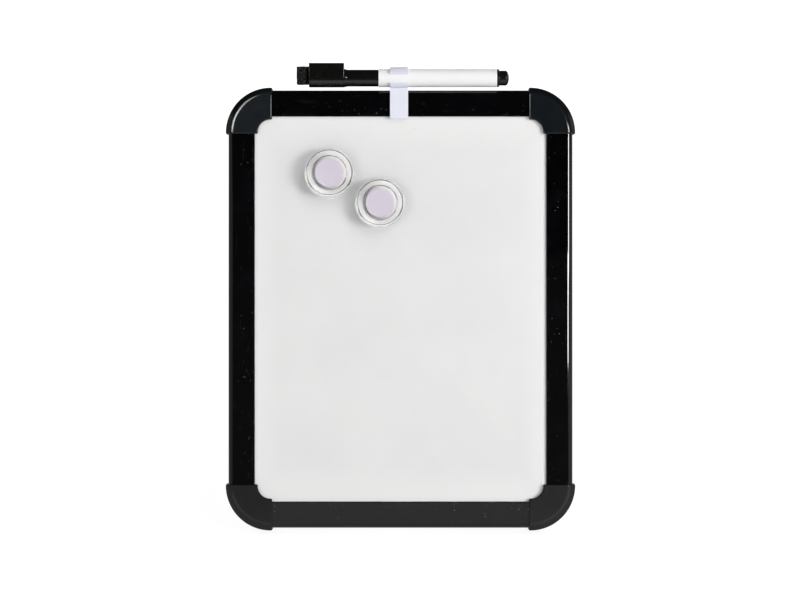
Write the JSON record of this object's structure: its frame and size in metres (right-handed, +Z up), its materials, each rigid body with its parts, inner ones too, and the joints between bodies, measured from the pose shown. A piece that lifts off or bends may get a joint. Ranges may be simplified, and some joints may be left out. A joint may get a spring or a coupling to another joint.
{
  "type": "magnetic desk whiteboard easel",
  "caption": "Small framed magnetic whiteboard that leans back on a fold-out strut, with a marker in a sliding clip on its top bar and round magnets on the sheet.",
  "frame": {"origin": "desk level, under the middle of the box around the whole object", "axes": "+X to the reader's right along the bars, +Y to the back, +Z up from the desk; the board leans back 15 degrees"},
  "size_m": [0.217, 0.1154, 0.2839],
  "materials": {
    "writing_steel": "smooth gloss white enamel on steel",
    "core_board": "raw fibreboard",
    "backing": "grey plastic sheet with a fine grain",
    "bar_black": "gloss black coating on extruded aluminium",
    "cap_plastic": "satin moulded",
    "connector_plastic": "moulded",
    "screw_steel": "zinc plated",
    "bracket_steel": "black painted pressed steel",
    "pad_rubber": "matt",
    "strut_plastic": "fine moulded grain",
    "clip_plastic": "smooth pale lilac",
    "barrel_plastic": "gloss white",
    "marker_black": "gloss black",
    "nib_felt": "inked fibre",
    "seal_plastic": "translucent polyethylene",
    "magnet_metal": "nickel plated magnet",
    "eraser_felt": "dark wool felt",
    "clear_acrylic": "clear moulded acrylic",
    "lilac_insert": "pale lilac card"
  },
  "bodies": {
    "board": {"writing_sheet": "writing_steel", "core_board": "core_board", "back_sheet": "backing", "frame_bar_top": "bar_black", "frame_bar_bottom": "bar_black", "frame_bar_left": "bar_black", "frame_bar_right": "bar_black", "corner_cap_top_left": "cap_plastic", "corner_cap_top_right": "cap_plastic", "corner_cap_bottom_left": "cap_plastic", "corner_cap_bottom_right": "cap_plastic", "corner_connector_top_left": "connector_plastic", "corner_connector_top_right": "connector_plastic", "corner_connector_bottom_left": "connector_plastic", "corner_connector_bottom_right": "connector_plastic", "corner_screws": "screw_steel", "foot_pad_left": "pad_rubber", "foot_pad_right": "pad_rubber", "hinge_bracket": "bracket_steel", "hinge_bracket_screws": "screw_steel", "hinge_pin": "screw_steel"},
    "strut": {"support_strut": "strut_plastic", "strut_shoe": "pad_rubber"},
    "clip": {"marker_clip": "clip_plastic"},
    "marker": {"marker_barrel": "barrel_plastic", "marker_end_plug": "marker_black", "nib_holder": "marker_black", "nib": "nib_felt", "ink_reservoir": "nib_felt"},
    "cap": {"marker_cap": "marker_black", "cap_inner_seal": "seal_plastic", "eraser_holder": "marker_black", "cap_magnet": "magnet_metal", "eraser_felt": "eraser_felt"},
    "magnet_left": {"magnet_housing_left": "clear_acrylic", "magnet_insert_left": "lilac_insert", "magnet_disc_left": "magnet_metal"},
    "magnet_right": {"magnet_housing_right": "clear_acrylic", "magnet_insert_right": "lilac_insert", "magnet_disc_right": "magnet_metal"}
  },
  "joints": [
    {"name": "strut_fold", "type": "hinge", "parent": "board", "child": "strut", "pos_m": [0, 0.0053, 0.18325], "axis": [1, 0, 0], "range_deg": [-30, 0]},
    {"name": "clip_slide", "type": "slide", "parent": "board", "child": "clip", "axis": [1, 0, 0], "range_m": [-0.0728, 0.0746]},
    {"name": "marker_slide", "type": "slide", "parent": "clip", "child": "marker", "axis": [1, 0, 0], "range_m": [-0.055, 0.007]},
    {"name": "cap_pull", "type": "slide", "parent": "marker", "child": "cap", "axis": [-1, 0, 0], "range_m": [0, 0.035]},
    {"name": "magnet_left_lift", "type": "slide", "parent": "board", "child": "magnet_left", "axis": [0, -0.9659, 0.2588], "range_m": [0, 0.03]},
    {"name": "magnet_right_slide", "type": "slide", "parent": "board", "child": "magnet_right", "axis": [1, 0, 0], "range_m": [-0.005, 0.085]}
  ]
}
